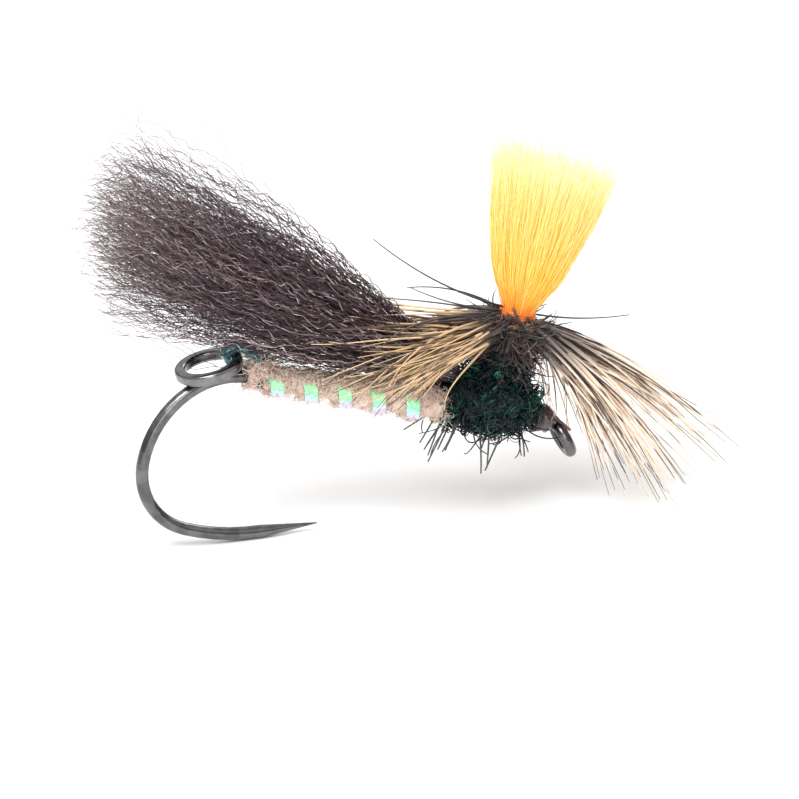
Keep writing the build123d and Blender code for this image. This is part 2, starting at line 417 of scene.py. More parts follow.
def skin(name, spots, shape, rng, material, closed=False):
    # faces and the fibres' map over rings of spots: fibre by fibre, ring by ring
    count, points, sides = shape
    number = np.arange(count * points * sides).reshape(shape)
    ring, nextRing = (number, np.roll(number, -1, 1)) if closed else (number[:, :-1], number[:, 1:])
    turned, nextTurned = np.roll(ring, -1, 2), np.roll(nextRing, -1, 2)
    quads = np.stack([ring, turned, nextTurned, nextRing], -1).reshape(-1, 4)
    shade = rng.integers(0, shades, count)
    left = (np.arange(sides) / sides * 0.8 + 0.1)[None, None]
    right = left + 0.8 / sides
    level = np.linspace(0.02, 0.98, points + closed)
    low = np.broadcast_to(level[:-1][None, :, None], ring.shape)
    high = np.broadcast_to(level[1:][None, :, None], ring.shape)
    left = np.broadcast_to((shade[:, None, None] + left) / shades, ring.shape)
    right = np.broadcast_to((shade[:, None, None] + right) / shades, ring.shape)
    across = np.stack([left, right, right, left], -1).reshape(-1)
    length = np.stack([low, low, high, high], -1).reshape(-1)
    corners, starts = quads.reshape(-1), np.arange(len(quads)) * 4
    if not closed:
        ends = np.concatenate([number[:, 0, ::-1], number[:, -1]])
        spread = np.linspace(0.2, 0.8, sides)
        twist = 0.008 + 0.008 * (np.arange(sides) % 2)
        capAcross = (np.tile(shade, 2)[:, None] + spread) / shades
        capLength = np.concatenate([np.tile(twist, (count, 1)), np.tile(1 - twist, (count, 1))])
        starts = np.concatenate([starts, len(corners) + np.arange(2 * count) * sides])
        corners = np.concatenate([corners, ends.reshape(-1)])
        across = np.concatenate([across, capAcross.reshape(-1)])
        length = np.concatenate([length, capLength.reshape(-1)])
    mesh = bpy.data.meshes.new(name)
    mesh.vertices.add(len(spots))
    mesh.vertices.foreach_set("co", np.asarray(spots).reshape(-1))
    mesh.loops.add(len(corners))
    mesh.loops.foreach_set("vertex_index", corners.astype(np.int32))
    mesh.polygons.add(len(starts))
    mesh.polygons.foreach_set("loop_start", starts.astype(np.int32))
    mesh.update(calc_edges=True)
    mesh.polygons.foreach_set("use_smooth", np.ones(len(starts), bool))
    layer = mesh.uv_layers.new(name=bakeMap)
    layer.uv.foreach_set("vector", np.stack([across, length], -1).reshape(-1))
    mesh.materials.append(material)
    piece = bpy.data.objects.new(name, mesh)
    bpy.context.scene.collection.objects.link(piece)
    return piece


def crimp(paths, size, wave, rng):
    # adds each fibre's own small waves, growing out of its root
    count, points = paths.shape[:2]
    length = np.linalg.norm(np.diff(paths, axis=1), axis=2)
    far = np.concatenate([np.zeros((count, 1)), np.cumsum(length, 1)], 1)
    turns = 2 * math.pi * far / rng.uniform(*wave, (count, 1))
    first, second = rng.normal(size=(2, count, 1, 3))
    grown = np.minimum(1, far / 1.2) * rng.uniform(*size, (count, 1))
    swing = np.sin(turns + rng.uniform(0, 6.28, (count, 1)))[:, :, None] * first
    sway = np.cos(turns * 0.73 + rng.uniform(0, 6.28, (count, 1)))[:, :, None] * second
    return paths + grown[:, :, None] * (swing + 0.7 * sway) * 0.7


def wander(starts, headings, steps, stride, turn, rng, pull=None):
    # fibres that curl as they grow: turn is each one's bend at a step, in degrees
    count = len(starts)
    paths = np.empty((count, steps, 3))
    paths[:, 0] = starts
    heading = headings / np.linalg.norm(headings, axis=1, keepdims=True)
    hinge = np.cross(heading, rng.normal(size=(count, 3)))
    angle = np.radians(turn)[:, None]
    for step in range(1, steps):
        hinge /= np.linalg.norm(hinge, axis=1, keepdims=True)
        paths[:, step] = paths[:, step - 1] + heading * stride[:, None]
        heading = heading * np.cos(angle) + np.cross(hinge, heading) * np.sin(angle)
        if pull is not None:
            heading = heading + pull(paths[:, step])
        heading /= np.linalg.norm(heading, axis=1, keepdims=True)
        hinge = np.cross(heading, np.cross(hinge + 0.2 * rng.normal(size=(count, 3)), heading))
    return paths


def finish(piece, body, slot, *nodes):
    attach(piece, body)
    if nodes:
        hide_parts(*nodes)


def taper(points, root, tip, power=1.0):
    return root + (tip - root) * np.linspace(0, 1, points) ** power


view = {
    "turn": -20.0,        # degrees about the object, from straight ahead
    "rise": 20.0,
    "distance": 0.26,
    "width": 23.15,       # millimetres across the picture at the hook
    "sight": (0.19, 1.18, 3.24),
}


def makeCamera():
    turn, rise = math.radians(view["turn"]), math.radians(view["rise"])
    back = Vector((math.sin(turn) * math.cos(rise), -math.cos(turn) * math.cos(rise), math.sin(rise)))
    camera = bpy.data.objects.new("camera", bpy.data.cameras.new("camera"))
    bpy.context.scene.collection.objects.link(camera)
    camera.location = Vector(view["sight"]) * mm + back * view["distance"]
    camera.rotation_euler = back.to_track_quat("Z", "Y").to_euler()
    camera.data.angle = 2 * math.atan(view["width"] * mm / 2 / view["distance"])
    camera.data.clip_start = 0.01
    bpy.context.scene.camera = camera


studio = {
    "key": (0.16, (-0.12, -0.10, 0.24), 0.62),     # size, place, power
    "rim": (0.12, (0.20, 0.16, 0.16), 0.16),
    "fill": (0.14, (-0.10, -0.24, 0.08), 0.16),
    "world": 0.95,
    "sky": ((0.05, (0.16, 0.16, 0.17)), (0.55, (1.0, 1.0, 1.0))),
}


def makeStudio():
    bpy.ops.mesh.primitive_plane_add(size=6.0)
    floor = bpy.context.object
    floor.name = "floor"
    floor.data.materials.append(paleFloor())
    for name in ("key", "rim", "fill"):
        size, place, power = studio[name]
        lamp = bpy.data.objects.new(name, bpy.data.lights.new(name, "AREA"))
        bpy.context.scene.collection.objects.link(lamp)
        lamp.data.size = size
        lamp.data.energy = power
        lamp.location = place
        lamp.rotation_euler = Vector(place).to_track_quat("Z", "Y").to_euler()
    world = bpy.data.worlds.new("soft_room")
    bpy.context.scene.world = world
    world.use_nodes = True
    # a bright ceiling over a darker horizon gives the metal its dark edges
    room = Nodes(world.node_tree)
    height = room.node("ShaderNodeSeparateXYZ", {}, {0: room.node("ShaderNodeTexCoord")}, out=2)
    background = room.tree.nodes["Background"]
    room.feed(background.inputs[0], room.ramp(height, *studio["sky"]))
    room.feed(background.inputs[1], studio["world"])
    bpy.context.scene.view_settings.view_transform = "Standard"


bpy.ops.object.select_all(action="DESELECT")
makeCamera()
makeStudio()
print("camera and studio done")

# the hook and the ring keep their own shapes
nickel = blackNickel("black_nickel_wire", 0.14)
ringNickel = blackNickel("black_nickel_ring", 0.18)


def repaint(node, material):
    mesh = frame["nodes"][node].data
    mesh.materials.clear()
    mesh.materials.append(material)


repaint("hook", nickel)
repaint("tippet_ring", ringNickel)

# crimped hair in one bundle that slants back over the bend
wing = {
    "x": (6.3, 4.0, 0.5, -5.4),          # stations along the shank
    "middle": (0.95, 1.60, 2.58, 4.3),
    "tall": (0.25, 0.86, 1.58, 2.3),     # half heights and half widths
    "wide": (0.30, 0.62, 0.95, 1.25),
    "points": 58,
    "batches": (("wing_lower", 360, -0.55), ("wing_middle", 390, -0.05), ("wing_upper", 260, 0.48)),
    "thickness": (0.0165, 0.007),        # at the root and at the tip
    "crimp": (0.02, 0.085),              # how far a wave swings, and its length
    "wave": (0.65, 1.2),
    "strays": 64,
    "strayPoints": 26,
    "strayThickness": (0.009, 0.004),
    "push": (0.3, 0.0, 1.0),             # which way the lifted ring pushes the hair
    "top": (-3.0, 0.0, 5.4),             # and the point it is pushed towards
    "keep": 0.66,
}


def wingShape(x):
    # the bundle's middle, half height and half width at a station
    order = np.argsort(wing["x"])
    stations = np.array(wing["x"])[order]
    return [np.interp(x, stations, np.array(wing[key])[order]) for key in ("middle", "tall", "wide")]


def wingPaths(count, level, rng):
    points = wing["points"]
    high = np.clip(level + rng.normal(0, 0.36, count), -1.0, 1.05)
    room = np.sqrt(np.clip(1.05 - high**2 * 0.9, 0.08, 1))
    lateral = rng.uniform(-1, 1, count) * room
    # the middle hairs reach furthest, and some are shorter than the rest
    tipX = -5.75 + 1.0 * high**2 + rng.exponential(0.6, count) - 0.25
    tipX += (rng.random(count) < 0.2 + 0.3 * level) * rng.uniform(0.5, 3.5, count)
    t = np.linspace(0, 1, points)
    x = wing["x"][0] + (tipX[:, None] - wing["x"][0]) * t
    driftHigh = high[:, None] + np.cumsum(rng.normal(0, 0.035, (count, points)), 1) * (t > 0.15)
    driftSide = lateral[:, None] + np.cumsum(rng.normal(0, 0.035, (count, points)), 1) * (t > 0.15)
    middle, tall, wide = wingShape(x)
    paths = np.stack([x, driftSide * wide, middle + driftHigh * tall], -1)
    return crimp(paths, wing["crimp"], wing["wave"], rng)


def strayPaths(rng, count):
    x = rng.uniform(-4.8, 3.5, count)
    high = rng.choice([-1, 1], count, p=[0.35, 0.65]) * rng.uniform(0.75, 1.0, count)
    middle, tall, wide = wingShape(x)
    starts = np.stack([x, rng.uniform(-0.6, 0.6, count) * wide, middle + high * tall], -1)
    spread = rng.normal(0, 0.35, count)
    headings = np.stack([-np.ones(count), spread, high * rng.uniform(0.1, 1.2, count)], -1)
    stride = rng.uniform(0.05, 0.11, count)
    return wander(starts, headings, wing["strayPoints"], stride, rng.uniform(2, 9, count), rng)


def yieldToRing(piece):
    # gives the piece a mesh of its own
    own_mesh(piece)


def makeWing():
    hair = wingHair()
    for order, (name, count, level) in enumerate(wing["batches"]):
        rng = np.random.default_rng(40 + order)
        paths = wingPaths(count, level, rng)
        piece = growTubes(name, paths, taper(wing["points"], *wing["thickness"], 2.0), rng, hair)
        finish(piece, "fly", "dark_wing_hair", "wing")
        yieldToRing(piece)
    # stray hairs that stand off the bundle
    rng = np.random.default_rng(49)
    paths = strayPaths(rng, wing["strays"])
    size = taper(wing["strayPoints"], *wing["strayThickness"])
    piece = growTubes("wing_strays", paths, size, rng, hair)
    finish(piece, "fly", "dark_wing_hair", "wing")
    yieldToRing(piece)
    print("wing done")


# an upright bunch of yarn, cut level at its top
post = {
    "count": 1500,
    "points": 19,
    # half widths along the shank and across it, up the yarn
    "rise": (0.0, 0.07, 0.30, 0.62, 1.0),
    "wide": (0.42, 0.44, 1.10, 1.62, 2.05),
    "deep": (0.42, 0.44, 0.86, 1.14, 1.3),
    "thickness": (0.0155, 0.009),
    "sunk": 0.35,        # how far the yarn starts inside its wraps
    "over": 0.25,        # and how far its ends pass its level top
}


def makePost():
    rng = np.random.default_rng(7)
    count, points = post["count"], post["points"]
    angle = rng.uniform(0, 2 * math.pi, count)
    out = np.sqrt(rng.random(count))
    t = np.linspace(0, 1, points)[None]
    tall = yarnHigh[2] - postNeck + post["over"]
    trim = rng.normal(0.95, 0.045, count) - 0.03 * np.cos(angle) * out
    trim -= (rng.random(count) < 0.16) * rng.uniform(0, 0.4, count)
    rise = (t * trim[:, None]).clip(0, 1.06)
    wide = np.interp(rise, post["rise"], post["wide"])
    deep = np.interp(rise, post["rise"], post["deep"])
    wave = 0.03 * np.sin(t * rng.uniform(6, 14, (count, 1)) + rng.uniform(0, 6.28, (count, 1)))
    x = postX + (out * np.cos(angle))[:, None] * wide + wave
    y = (out * np.sin(angle))[:, None] * deep + wave[::-1]
    h = postNeck - post["sunk"] + rise * (tall + post["sunk"])
    paths = crimp(np.stack([x, y, h], -1), (0.005, 0.05), (1.0, 2.4), rng)
    piece = growTubes("post_yarn", paths, taper(points, *post["thickness"]), rng, postYarn())
    finish(piece, "fly", "yellow_yarn", "wing_post")
    print("post done")


# count, angles about the post from straight ahead, drops and reaches
hackle = {
    "hackle_front": (58, (-16, 16), (2.0, 3.2), (5.8, 7.6)),
    "hackle_foot_right": (74, (-34, -6), (2.8, 4.0), (3.4, 6.2)),
    "hackle_foot_left": (42, (10, 44), (2.9, 4.0), (3.6, 6.0)),
    "hackle_side_right": (6, (-176, -140), (1.3, 2.1), (3.4, 4.8)),
    "hackle_side_left": (30, (48, 112), (1.6, 3.0), (4.2, 5.8)),
    "hackle_rear_right": (90, (-182, -146), (0.2, 2.2), (4.8, 6.6)),
    "hackle_rear_left": (44, (150, 178), (0.8, 2.0), (4.8, 6.3)),
}
# how far up a barb bows, least and most: those behind curve up again towards their tips
bow = {"usual": (0.06, 0.4), "hackle_rear_right": (-0.35, 0.15), "hackle_rear_left": (-0.35, 0.1)}
barb = {"points": 24, "root": 0.055, "tip": 0.009, "sides": 5}


def barbPaths(rng, count, angles, drops, reaches, bows):
    points = barb["points"]
    t = np.linspace(0, 1, points)[None]
    # barbs clump: each belongs to a bunch that shares its way
    bunches = max(3, count // 7)
    bunchAngle = rng.uniform(*angles, bunches)
    bunchDrop = rng.uniform(*drops, bunches)
    own = rng.integers(0, bunches, count)
    angle = bunchAngle[own] + rng.normal(0, 2.4, count)
    drop = bunchDrop[own] + rng.normal(0, 0.16, count)
    reach = rng.uniform(*reaches, count)
    # the steeper a barb droops, the shorter its way out
    longest = max(reaches) + 0.9
    reach = np.minimum(reach, np.sqrt(np.maximum(longest**2 - drop**2, 4.0)))
    start = rng.uniform(-1.7, 0.8, count)
    bend = rng.normal(0, 7.0, count)
    turn = np.radians(angle[:, None] + bend[:, None] * t**1.6 + (1 - t) * rng.normal(0, 10, (count, 1)))
    out = stemR - 0.1 + (reach - stemR + 0.1)[:, None] * t
    bowed = np.sin(math.pi * t) * rng.uniform(*bows, (count, 1))
    level = hackleH + start[:, None] * (stemHigh[2] - stemLow[2]) / 2 * (1 - 0.6 * t)
    h = level - drop[:, None] * t**1.2 + bowed
    return np.stack([postX + out * np.cos(turn), out * np.sin(turn), h], -1)


def makeHackle():
    rear = barbPaint("cree_barbs", (0.90, 0.68, 0.42), (0.66, 0.39, 0.17), 0.46)
    front = barbPaint("pale_cree_barbs", (0.95, 0.82, 0.67), (0.84, 0.57, 0.38), 0.26, 0.36)
    # the few near-side barbs behind the post get a darker copy of the barb paint: painted shade
    shadedBeneath = barbPaint("shaded_side_barbs", (0.60, 0.42, 0.27), (0.30, 0.17, 0.11), 0.7, 0.4)
    paints = {"hackle_rear_right": rear, "hackle_rear_left": rear, "hackle_side_right": shadedBeneath}
    for order, (node, (count, angles, drops, reaches)) in enumerate(hackle.items()):
        rng = np.random.default_rng(70 + order)
        paths = barbPaths(rng, count, angles, drops, reaches, bow.get(node, bow["usual"]))
        paths = crimp(paths, (0.0, 0.03), (2.0, 5.0), rng)
        size = taper(barb["points"], barb["root"], barb["tip"], 0.8) * rng.uniform(0.65, 1.2, (count, 1))
        piece = growTubes(node + "_barbs", paths, size, rng, paints.get(node, front), barb["sides"])
        finish(piece, "fly", "cree_hackle", node)
    print("hackle done")


# short curls of dubbing over a packed core
thorax = {
    "radius": (1.68, 1.06, 0.98),    # along the shank, across it and up
    "rise": 0.30,                    # its middle over the shank's line
    "curls": 900,
    "points": 20,
    "thickness": (0.024, 0.011),
    "collar": 300,                   # curls wound up around the foot of the post
    "collarLevel": 1.25,
    "collarRadius": (0.86, 0.86, 0.75),
    "pickings": 58,
    "pickingThickness": (0.026, 0.016),
    "strands": (10, 5),              # behind and in front
    "strandThickness": (0.034, 0.024),
    "core": 0.86,                    # the core's share of the radius
}


def makeThorax():
    rng = np.random.default_rng(11)
    middle = np.array([(thoraxLow[0] + thoraxHigh[0]) / 2, 0.0, thorax["rise"]])
    radius = np.array(thorax["radius"])
    collar = np.array([postX, 0.0, thorax["collarLevel"]])
    count = thorax["curls"] + thorax["collar"]
    high = (np.arange(count) >= thorax["curls"])[:, None]
    centre = np.where(high, collar, middle)
    reach = np.where(high, thorax["collarRadius"], radius)

    def pull(points):
        q = (points - centre) / reach
        far = np.linalg.norm(q, axis=1, keepdims=True)
        return (0.96 - far) * 1.1 * q / (far + 1e-9)

    way = rng.normal(size=(count, 3))
    way /= np.linalg.norm(way, axis=1, keepdims=True)
    starts = centre + way * reach * 0.82
    headings = way * 0.8 + rng.normal(0, 0.8, (count, 3))
    turn = rng.uniform(8, 34, count)
    stride = rng.uniform(0.05, 0.09, count)
    paths = wander(starts, headings, thorax["points"], stride, turn, rng, pull)
    dubbing = peacockDubbing()
    size = taper(thorax["points"], *thorax["thickness"]) * rng.uniform(0.55, 1.25, (count, 1))
    piece = growTubes("thorax_curls", paths, size, rng, dubbing, 4)
    finish(piece, "fly", "peacock_dubbing", "thorax")
    # fibres picked out beneath and behind
    count = thorax["pickings"]
    points = thorax["points"]
    angle = rng.uniform(-2.9, -0.25, count)
    way = np.stack([rng.uniform(-1, 1, count), 0.75 * np.cos(angle), np.sin(angle)], -1)
    way /= np.linalg.norm(way, axis=1, keepdims=True)
    starts = middle + way * radius * 0.9
    swept = np.array([-0.55, 0, 0]) * rng.uniform(-0.5, 1.6, (count, 1))
    headings = way + swept + rng.normal(0, 0.3, (count, 3))
    stride = rng.uniform(0.02, 0.075, count)
    paths = wander(starts, headings, points, stride, rng.uniform(0.3, 9, count), rng)
    size = taper(points, *thorax["pickingThickness"])
    piece = growTubes("thorax_pickings", paths, size, rng, dubbing, 4)
    finish(piece, "fly", "peacock_dubbing", "thorax")
    # a few stout strands stick out straight, most of them down behind it
    behind, before = thorax["strands"]
    count = behind + before
    back = [rng.uniform(*span, behind) for span in ((-1.45, -0.7), (-0.7, 0.5), (-0.75, -0.4))]
    fore = [rng.uniform(*span, before) for span in ((-0.2, 1.4), (-0.6, 0.6), (-0.9, -0.7))]
    starts = middle + np.hstack([back, fore]).T * [1, 1, 0.9]
    ways = [[-0.42, -0.15, -1.0]] * behind + [[0.25, 0.0, -1.0]] * before
    headings = ways + rng.normal(0, 0.16, (count, 3))
    stride = rng.uniform(0.07, 0.13, count)
    paths = wander(starts, headings, 12, stride, rng.uniform(0, 3, count), rng)
    size = taper(12, *thorax["strandThickness"])
    piece = growTubes("thorax_strands", paths, size, rng, darkStrand(), 5)
    finish(piece, "fly", "peacock_dubbing", "thorax")
    # the core under the curls
    bpy.ops.mesh.primitive_uv_sphere_add(segments=48, ring_count=24, radius=1.0)
    core = bpy.context.object
    core.name = "thorax_core"
    points = np.array([v.co for v in core.data.vertices]) * radius * thorax["core"] + middle
    points += 0.05 * np.sin(points * 9.0)[:, [1, 2, 0]]
    core.data.vertices.foreach_set("co", toRow(points).reshape(-1))
    bpy.ops.object.shade_smooth()
    core.data.materials.append(darkCore())
    finish(core, "fly", "peacock_dubbing", "thorax")
    print("thorax done")


# a lumpy dubbed core, its fur and the pearl tinsel wound over it
abdomen = {
    "start": -0.12,      # its tail end from the loop's root
    "tail": 0.30,        # radii at the tail and in front
    "front": 0.50,
    "rings": 90,
    "sides": 28,
    "fur": 3000,
    "furPoints": 9,
    "tailFur": 300,      # wound around the loop's root too
    "mat": 900,          # brushed over the back
    "guardFur": 430,     # loose fibres that stand off
    "thickness": (0.012, 0.006),
    "guardThickness": (0.009, 0.004),
}
ribbon = {
    "first": 0.36,       # the first window
    "pitch": 1.06,
    "turns": 4.75,
    "points": 260,
    "width": 0.40,
    "thick": 0.03,
    "lift": 0.07,        # how far it stands over the core where it shows
    "sunk": 0.09,        # and how deep it is buried on the back
}


def bodyRadius(x):
    t = np.clip((x - abdomen["start"]) / (bodyHigh[0] - abdomen["start"]), 0, 1)
    full = abdomen["tail"] + (abdomen["front"] - abdomen["tail"]) * t**0.8
    # the tinsel pinches the dubbing at each turn
    turns = (x - ribbon["first"]) / ribbon["pitch"]
    pinch = np.exp(-(((turns - np.round(turns)) / 0.2) ** 2)) * 0.05
    return full - pinch * (x > ribbon["first"] - 0.3)


def makeAbdomen():
    rng = np.random.default_rng(23)
    rings, sides = abdomen["rings"], abdomen["sides"]
    x = np.linspace(abdomen["start"], bodyHigh[0] + 0.25, rings)
    angle = np.arange(sides) * 2 * math.pi / sides
    lumps = 0.02 * np.sin(x[:, None] * 7.3 + angle * 2)
    lumps = lumps + 0.014 * np.sin(x[:, None] * 17 - angle * 3)
    close = np.sqrt(np.clip(1 - ((x - x[0] - 0.2) / 0.2).clip(-1, 0) ** 2, 0.03, 1))
    radius = (bodyRadius(x)[:, None] - 0.03 + lumps) * close[:, None]
    across = np.broadcast_to(x[:, None], radius.shape)
    spots = np.stack([across, -radius * np.sin(angle), radius * np.cos(angle)], -1)
    core = skin("abdomen_core", toRow(spots.reshape(-1, 3)), (1, rings, sides), rng, furCore())
    finish(core, "fly", "tan_dubbing", "abdomen", "thread_underbody")
    count, points = abdomen["fur"], abdomen["furPoints"]
    x = rng.uniform(abdomen["start"] + 0.02, bodyHigh[0] + 0.1, count)
    # fur is thinner where the tinsel lies over it
    turns = (x - ribbon["first"]) / ribbon["pitch"]
    onTinsel = (np.abs(turns - np.round(turns)) < 0.17) & (x > ribbon["first"] - 0.2)
    angle = rng.uniform(0, 2 * math.pi, count)
    bare = onTinsel & (rng.random(count) < np.where(np.sin(angle) > 0.3, 0.1, 0.98))
    x = np.where(bare, x + ribbon["pitch"] * 0.4, x)
    out = bodyRadius(x) - 0.05
    starts = np.stack([x, out * np.cos(angle), out * np.sin(angle)], -1)
    outward = np.stack([np.zeros(count), np.cos(angle), np.sin(angle)], -1)
    around = np.stack([rng.normal(0, 0.5, count), -np.sin(angle), np.cos(angle)], -1)
    headings = outward * rng.uniform(0.2, 0.8, (count, 1))
    headings += around * rng.choice([-1, 1], (count, 1))

    def pull(points):
        far = np.linalg.norm(points[:, 1:], axis=1, keepdims=True)
        inward = points * [0, -1, -1] / far
        return inward * np.clip(far - bodyRadius(points[:, :1]), -0.02, 0.16) * 3.0

    stride = rng.uniform(0.03, 0.08, count)
    paths = wander(starts, headings, points, stride, rng.uniform(2, 18, count), rng, pull)
    tan = tanFur()
    size = taper(points, *abdomen["thickness"]) * rng.uniform(0.6, 1.3, (count, 1))
    fur = growTubes("abdomen_fur", paths, size, rng, tan)
    finish(fur, "fly", "tan_dubbing", "abdomen")
    # the tail's fur covers the loop's root
    count = abdomen["tailFur"]
    angle = rng.uniform(-0.5, math.pi + 0.5, count)
    x = rng.uniform(abdomen["start"], 0.55, count)
    starts = np.stack([x, 0.36 * np.cos(angle), 0.32 + 0.30 * np.sin(angle)], -1)
    headings = np.stack([rng.normal(0, 0.7, count), -np.sin(angle), np.cos(angle)], -1)
    headings += rng.normal(0, 0.4, (count, 3))
    stride = rng.uniform(0.025, 0.06, count)
    paths = wander(starts, headings, 12, stride, rng.uniform(6, 26, count), rng)
    tail = growTubes("abdomen_tail_fur", paths, taper(12, *abdomen["thickness"]), rng, tan)
    finish(tail, "fly", "tan_dubbing", "abdomen")
    # a mat of fur brushed over the back, clear of the loop's root
    count = abdomen["mat"]
    x = rng.uniform(abdomen["start"] + 0.65, bodyHigh[0], count)
    angle = rng.uniform(0.42, math.pi - 0.42, count)
    out = bodyRadius(x) + 0.06
    starts = np.stack([x, out * np.cos(angle), out * np.sin(angle)], -1)
    way = np.where(np.cos(angle) > 0, -1.0, 1.0)[:, None]
    around = np.stack([rng.normal(0, 0.7, count), -np.sin(angle), np.cos(angle)], -1)

    def hug(points):
        far = np.linalg.norm(points[:, 1:], axis=1, keepdims=True)
        inward = points * [0, -1, -1] / far
        return inward * (far - bodyRadius(points[:, :1]) - 0.08).clip(-0.06, 0.16) * 4.0

    stride = rng.uniform(0.03, 0.07, count)
    paths = wander(starts, around * way, 7, stride, rng.uniform(2, 18, count), rng, hug)
    mat = growTubes("abdomen_mat", paths, taper(7, *abdomen["thickness"]), rng, tan)
    finish(mat, "fly", "tan_dubbing", "abdomen")
    # loose fibres stand off, and are short over the windows
    count = abdomen["guardFur"]
    x = rng.uniform(abdomen["start"] + 0.02, bodyHigh[0], count)
    angle = rng.uniform(0, 2 * math.pi, count)
    out = bodyRadius(x) * 0.9
    starts = np.stack([x, out * np.cos(angle), out * np.sin(angle)], -1)
    headings = np.stack([rng.normal(0, 0.6, count), np.cos(angle), np.sin(angle)], -1)
    turns = (x - ribbon["first"]) / ribbon["pitch"]
    covers = (np.sin(angle) < 0.3) & (np.abs(turns % 1 - 0.5) > 0.3)
    stride = rng.uniform(0.012, 0.045, count) * np.where(covers, 0.25, 1.0)
    paths = wander(starts, headings, 12, stride, rng.uniform(3, 16, count), rng)
    loose = growTubes("abdomen_guard_fur", paths, taper(12, *abdomen["guardThickness"]), rng, tan)
    finish(loose, "fly", "tan_dubbing", "abdomen")
    print("abdomen done")


def makeRibbon():
    rng = np.random.default_rng(5)
    points = ribbon["points"]
    t = np.linspace(0, 1, points)
    turn = 2 * math.pi * ribbon["turns"] * t - 0.6
    x = ribbon["first"] - 0.25 + ribbon["pitch"] * ribbon["turns"] * t
    # on the back it is buried in the fur
    shown = 1 / (1 + np.exp((np.sin(turn) - 0.34) * 30))
    radius = bodyRadius(x) - ribbon["sunk"] + (ribbon["lift"] + ribbon["sunk"]) * shown
    radius = radius + 0.004 * np.sin(turn * 7)
    half = ribbon["width"] / 2
    edges = ((-half, 0.0), (half, 0.0), (half, ribbon["thick"]), (-half, ribbon["thick"]))
    spots = []
    for shift, rise in edges:
        out = radius + rise
        spots.append(np.stack([x + shift, out * np.cos(turn), out * np.sin(turn)], -1))
    rings = np.stack(spots, 1)
    piece = skin("rib_ribbon", toRow(rings.reshape(-1, 3)), (1, points, 4), rng, pearlTinsel())
    piece.data.polygons.foreach_set("use_smooth", np.zeros(len(piece.data.polygons), bool))
    finish(piece, "fly", "pearl_tinsel", "rib_tinsel")
    print("tinsel done")


makeWing()
makePost()
makeHackle()
makeThorax()
makeAbdomen()
makeRibbon()


threads = {
    "wrap": 0.035,                           # thickness of the thread
    "post": (postR, postR, postR - 0.02),    # radii from the first turn to the last
    "postFoot": (0.9, (postR, postR)),       # from this level up
    "head": (headHigh[1], 0.40, 0.33, 0.25),
    "headWrap": 0.032,
    "headReach": (0.1, 0.05),                # past the head's wraps, behind and in front
}


def windThread(name, middle, first, last, radius, thread, rng, material, sides=7):
    # one thread wound about the shank, or about the post where middle says where it stands
    turns = (last - first) / (thread * 1.9)
    points = int(turns * 20)
    t = np.linspace(0, 1, points)
    turn = 2 * math.pi * turns * t
    out = np.interp(t, np.linspace(0, 1, len(radius)), radius) + 0.004 * np.sin(turn * 3.3)
    level = first + (last - first) * t
    if middle is None:
        path = np.stack([level, out * np.cos(turn), out * np.sin(turn)], -1)
    else:
        path = np.stack([middle + out * np.cos(turn), out * np.sin(turn), level], -1)
    return growTubes(name, path[None], thread, rng, material, sides)


def makeThreads():
    rng = np.random.default_rng(31)
    orange = waxedThread("orange_thread", (0.62, 0.09, 0.02), (0.95, 0.26, 0.04), 0.25)
    dark = waxedThread("dark_thread", (0.018, 0.012, 0.014), (0.07, 0.045, 0.045), 0.45)
    wrap = threads["wrap"]
    low = hackleH + 0.05
    piece = windThread("post_thread", postX, low, postNeck, threads["post"], wrap, rng, orange)
    finish(piece, "fly", "orange_thread", "post_wraps")
    foot, out = threads["postFoot"]
    piece = windThread("post_foot_thread", postX, foot, low, out, wrap, rng, dark)
    finish(piece, "fly", "orange_thread", "post_wraps")
    low, high = nodeSpan("loop_whipping")
    out = high[1] - wrap
    piece = windThread("whipping_thread", None, low[0], high[0], (out, out), wrap, rng, dark)
    finish(piece, "fly", "dark_thread", "loop_whipping")
    first = headLow[0] - threads["headReach"][0]
    last = headHigh[0] + threads["headReach"][1]
    piece = windThread("head_thread", None, first, last, threads["head"], threads["headWrap"], rng, dark)
    finish(piece, "fly", "dark_thread", "head_wraps")
    print("thread done")


# a drop of varnish over the head's thread: half length, half width, half height
drop = {"size": (0.36, 0.43, 0.40), "forward": 0.02, "sag": 0.25}


def makeHead():
    bpy.ops.mesh.primitive_uv_sphere_add(segments=40, ring_count=20, radius=1.0)
    piece = bpy.context.object
    piece.name = "head_drop"
    points = np.array([v.co for v in piece.data.vertices])
    uneven = 1 + 0.06 * np.sin(points[:, :1] * 5 + points[:, 2:] * 7)
    points = points * np.array(drop["size"]) * uneven
    points[:, 2] -= drop["sag"] * np.clip(points[:, 0], 0, 1)
    points += [(headLow[0] + headHigh[0]) / 2 + drop["forward"], 0, 0.0]
    piece.data.vertices.foreach_set("co", toRow(points).reshape(-1))
    bpy.ops.object.shade_smooth()
    piece.data.materials.append(headVarnish())
    finish(piece, "fly", "head_varnish", "head_cement")
    print("head done")


trim = {
    "quill": 0.085,                      # thickness of the quill
    "stubs": 70,                         # short thick barb bases
    "stubThickness": (0.04, 0.012),
    "web": 520,                          # soft dark web at the barbs' roots
    "webLevel": 1.45,
    "webThickness": (0.030, 0.010),
    # cut quill ends: which way and how far
    "cuts": (
        ((-0.5, -0.1, 0.62), 0.9),
        ((-0.75, -0.2, 0.35), 1.0),
        ((0.62, -0.35, 0.5), 0.8),
        ((-0.2, 0.75, 0.6), 0.8),
    ),
    "cutThickness": 0.045,
    # long hairs: angle about the post, rise in degrees, length and sag
    "hairs": ((171, 17, 4.3, 0.5), (-176, 6, 3.2, 0.3), (165, 1, 2.9, -0.5), (-3, 8, 3.0, 0.25)),
    "hairThickness": (0.034, 0.016),
    "butts": (-0.20, 0.16),              # each end's shift across the shank
}


